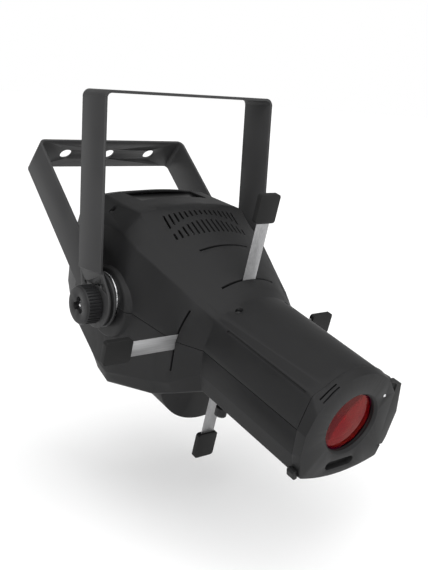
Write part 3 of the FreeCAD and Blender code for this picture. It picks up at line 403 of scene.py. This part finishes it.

# What isn't as its slot says: the brushing runs along each blade, and the top and bottom blades take a darker
# steel, a painted shade.
FINISHES = {"top_shutter_blade": "brushed_lengthwise", "bottom_shutter_blade": "brushed_lengthwise",
            "left_shutter_blade": "brushed_sideways", "right_shutter_blade": "brushed_sideways"}
SOFT_EDGES = {"top_shutter_handle": 1.5, "bottom_shutter_handle": 1.5, "left_shutter_handle": 1.5,
              "right_shutter_handle": 1.5, "focus_knob": 0.3, "left_knob": 0.25, "right_knob": 0.25,
              "front_bracket": 0.7, "rear_bracket": 0.7, "front_collar": 0.6, "fan_rotor": 0.2}
USUAL_EDGE = 0.45


def smooth_faces(mesh):
    """Shades a mesh smooth."""
    for polygon in mesh.polygons:
        polygon.use_smooth = True


def soften_edges(piece, width, segments):
    """Rounds a piece's sharp edges by a width in millimetres."""
    edges = piece.modifiers.new("Edges", "BEVEL")
    edges.width = width * MM
    edges.segments = segments
    edges.limit_method = "ANGLE"
    edges.angle_limit = math.radians(32)
    edges.harden_normals = True


def dress_nodes():
    """Gives each CAD node its material, smooth faces and softened edges."""
    slots = {entry["node"]: entry["material_slot"] for entry in frame["record"]["subparts"]}
    for name, node in NODES.items():
        mesh = node.data
        mesh.materials.clear()
        mesh.materials.append(MATERIALS[FINISHES.get(name, slots[name])])
        weld = node.modifiers.new("Weld", "WELD")
        weld.merge_threshold = 1e-6
        width = SOFT_EDGES.get(name, USUAL_EDGE)
        soften_edges(node, width, 3 if width > 1 else 2)
        smooth_faces(mesh)


# ------------------------------------------------------------------ added pieces

TO_FRONT = Matrix.Rotation(math.radians(90), 4, "X")
TO_BACK = Matrix.Rotation(math.radians(-90), 4, "X")


def lamp_place(x, forward, z, turn=None):
    """A matrix at a lamp-frame point in millimetres, with an optional turn."""
    place = LAMP @ Matrix.Translation(Vector((x, -forward, z)) * MM)
    return place @ turn if turn else place


def add_piece(name, bm, material, body, replaced=(), edge=0.0):
    """A finished piece, made from bm, that rides on a body."""
    bmesh.ops.recalc_face_normals(bm, faces=bm.faces)
    mesh = bpy.data.meshes.new(name)
    bm.to_mesh(mesh)
    bm.free()
    smooth_faces(mesh)
    mesh.materials.append(MATERIALS[material])
    piece = bpy.data.objects.new(name, mesh)
    bpy.context.scene.collection.objects.link(piece)
    if edge:
        soften_edges(piece, edge, 3)
    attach(piece, body)
    if replaced:
        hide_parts(*replaced)


def rings_to_mesh(bm, rings, place):
    """Closed rings of equal length joined by faces, with both ends capped."""
    built = [[bm.verts.new(place @ (Vector(point) * MM)) for point in ring] for ring in rings]
    count = len(built[0])
    for lower, upper in zip(built, built[1:]):
        for i in range(count):
            j = (i + 1) % count
            bm.faces.new((lower[i], lower[j], upper[j], upper[i]))
    bm.faces.new(list(reversed(built[0])))
    bm.faces.new(built[-1])


def hexagon_radius(angle, reach):
    """The distance from the centre to a hexagon's side at an angle."""
    within = angle % (math.pi / 3) - math.pi / 6
    return reach * math.cos(math.pi / 6) / math.cos(within)


def socket_screw(bm, place, radius, height):
    """A domed screw head with a hexagonal socket."""
    angles = [2 * math.pi * i / 36 for i in range(36)]
    dome = ((1.0, 0.0), (1.0, 0.5), (0.95, 0.72), (0.84, 0.88), (0.68, 0.98), (0.58, 1.0))
    hexagon = ((0.54, 1.0), (0.5, 0.94), (0.5, 0.25))
    levels = [([share] * len(angles), level) for share, level in dome]
    levels += [([hexagon_radius(a, share) for a in angles], level) for share, level in hexagon]
    levels.append(([0.12] * len(angles), 0.15))
    rings = [[(radius * share * math.cos(a), radius * share * math.sin(a), height * level)
              for a, share in zip(angles, shares)] for shares, level in levels]
    rings_to_mesh(bm, rings, place)


def add_screws(name, node, slot, places, radius, height):
    """Screw heads that stand for one CAD node."""
    bm = bmesh.new()
    for place in places:
        socket_screw(bm, place, radius, height)
    add_piece(name, bm, slot, "lamp", (node,))


def round_rectangle(width, height, radius):
    """The outline of a rectangle with round corners, about the origin."""
    steps = 5
    points = []
    for sx, sy, start in ((1, 1, 0), (-1, 1, 90), (-1, -1, 180), (1, -1, 270)):
        for step in range(steps + 1):
            angle = math.radians(start + 90 * step / steps)
            points.append((sx * (width / 2 - radius) + radius * math.cos(angle),
                           sy * (height / 2 - radius) + radius * math.sin(angle)))
    return points


def add_outlines(name, shapes, material, body, edge=0.0):
    """One piece made of several flat blocks: (place, outline, depth)."""
    bm = bmesh.new()
    for place, outline, depth in shapes:
        rings_to_mesh(bm, [[(x, y, z) for x, y in outline] for z in (0, depth)], place)
    add_piece(name, bm, material, body, edge=edge)


def lathe(bm, place, profile, count=72):
    """A solid turned about its local z axis from (radius, height) points."""
    rings = [[(r * math.cos(2 * math.pi * i / count), r * math.sin(2 * math.pi * i / count), z)
              for i in range(count)] for r, z in profile]
    rings_to_mesh(bm, rings, place)


def add_turned(name, places, profile, material, body, replaced=(), count=72):
    """One piece made of equal turned solids."""
    bm = bmesh.new()
    for place in places:
        lathe(bm, place, profile, count)
    add_piece(name, bm, material, body, replaced)


def add_filter_glass():
    """The red filter, slightly domed towards the front."""
    front, rim, rise = FILTER_FRONT, 29.6, 1.7
    profile = [(0.4, front - 0.38), (rim, front - 0.38), (rim + 0.25, front - 0.2), (rim, front)]
    profile += [(radius, front + rise * (1 - (radius / rim) ** 2))
                for radius in (28.6, 26, 23, 20, 17, 14, 11, 8, 5, 2.5, 0.4)]
    add_turned("filter_glass_dome", [lamp_place(0, 0, OPTICAL_HEIGHT, TO_FRONT)], profile,
               "filter_glass", "filter", ("filter_glass",))


def add_stud_tips():
    """The polished tips of the pivot studs, at the bottom of the knobs' wells."""
    stud_end = 120.4
    profile = [(2.6, -0.5), (2.6, 0.6), (2.45, 1.1), (2.1, 1.6), (1.6, 2.0), (0.9, 2.3), (0.15, 2.4)]
    places = [Matrix.Translation(PIVOT + Vector((side * stud_end, 0, 0)) * MM)
              @ Matrix.Rotation(math.radians(90 * side), 4, "Y") for side in (-1, 1)]
    add_turned("stud_tips", places, profile, "stud_chrome", "lamp", count=32)


# A digit's lit bars, each as (across, along, upright).
TOP, UPPER_RIGHT, LOWER_RIGHT = (0, 2, 0), (1, 1, 1), (1, -1, 1)
BOTTOM, LOWER_LEFT, UPPER_LEFT = (0, -2, 0), (-1, -1, 1), (-1, 1, 1)
DIGITS = {"0": (TOP, UPPER_RIGHT, LOWER_RIGHT, BOTTOM, LOWER_LEFT, UPPER_LEFT),
          "1": (UPPER_RIGHT, LOWER_RIGHT)}


def add_display():
    """Plain digits behind the display window."""
    bar = [(-1.8, 0), (-1.35, 0.45), (1.35, 0.45), (1.8, 0), (1.35, -0.45), (-1.35, -0.45)]
    shapes = []
    for index, digit in enumerate("001"):
        for across, along, upright in DIGITS[digit]:
            turn = Matrix.Rotation(math.radians(90 * upright), 4, "Z")
            x, z = -15 - index * 7.5 - across * 2.0, -20 + along * 2.0
            shapes.append((lamp_place(x, -114.9, z, TO_BACK @ turn), bar, 0.25))
    add_outlines("display_digits", shapes, "lit_segment", "lamp")


def add_roof_label():
    """A blank label with three plain marks, in the roof's recess."""
    film = (lamp_place(0, -44.5, LABEL_SEAT), round_rectangle(78, 25, 3), 0.25)
    add_outlines("roof_label", [film], "label_film", "lamp", 0.08)
    marks = [(lamp_place(x, -35.2, LABEL_SEAT + 0.26), round_rectangle(width, 2.2, 0.8), 0.12)
             for x, width in ((-20, 7), (-2, 9), (17, 7))]
    add_outlines("roof_label_marks", marks, "label_ink", "lamp")


def add_collar_clip():
    """The clip at the barrel's lower left edge, beside the collar."""
    slope = Matrix.Rotation(math.radians(-18.4), 4, "Y")
    plate = [(-1.6, -4.8), (2.2, -4.8), (2.2, 4.8), (-1.6, 4.8), (-3.0, 3.2), (-3.0, -3.2)]
    place = lamp_place(-51.3, 269.2, -39.4, slope @ TO_FRONT)
    add_outlines("collar_clip", [(place, plate, 9)], "black_plastic", "lamp", 0.9)


def add_all_screws():
    """The shell's, the collar's and the rear cover's screw heads."""
    shell = [lamp_place(side * x, forward, z) for x, forward, z in ((71.5, -37, 78.5), (31, 141, 45.5))
             for side in (-1, 1)]
    collar = [lamp_place(34.1, 280.1, 27, TO_FRONT)]
    rear = [lamp_place(x, -118, z, TO_BACK) for x in (-45, 45) for z in (-4, 58)]
    add_screws("shell_screw_heads", "shell_screws", "black_screw", shell, 2.9, 1.9)
    add_screws("collar_screw_head", "collar_screws", "bright_screw", collar, 1.7, 1.2)
    add_screws("rear_cover_screw_heads", "rear_cover_screws", "black_screw", rear, 3.0, 1.3)


def add_details():
    """Pieces too fine for the CAD."""
    add_all_screws()
    add_filter_glass()
    add_stud_tips()
    add_display()
    add_roof_label()
    add_collar_clip()


bpy.context.scene.view_settings.view_transform = "Standard"
set_camera()
set_stage()
dress_nodes()
add_details()
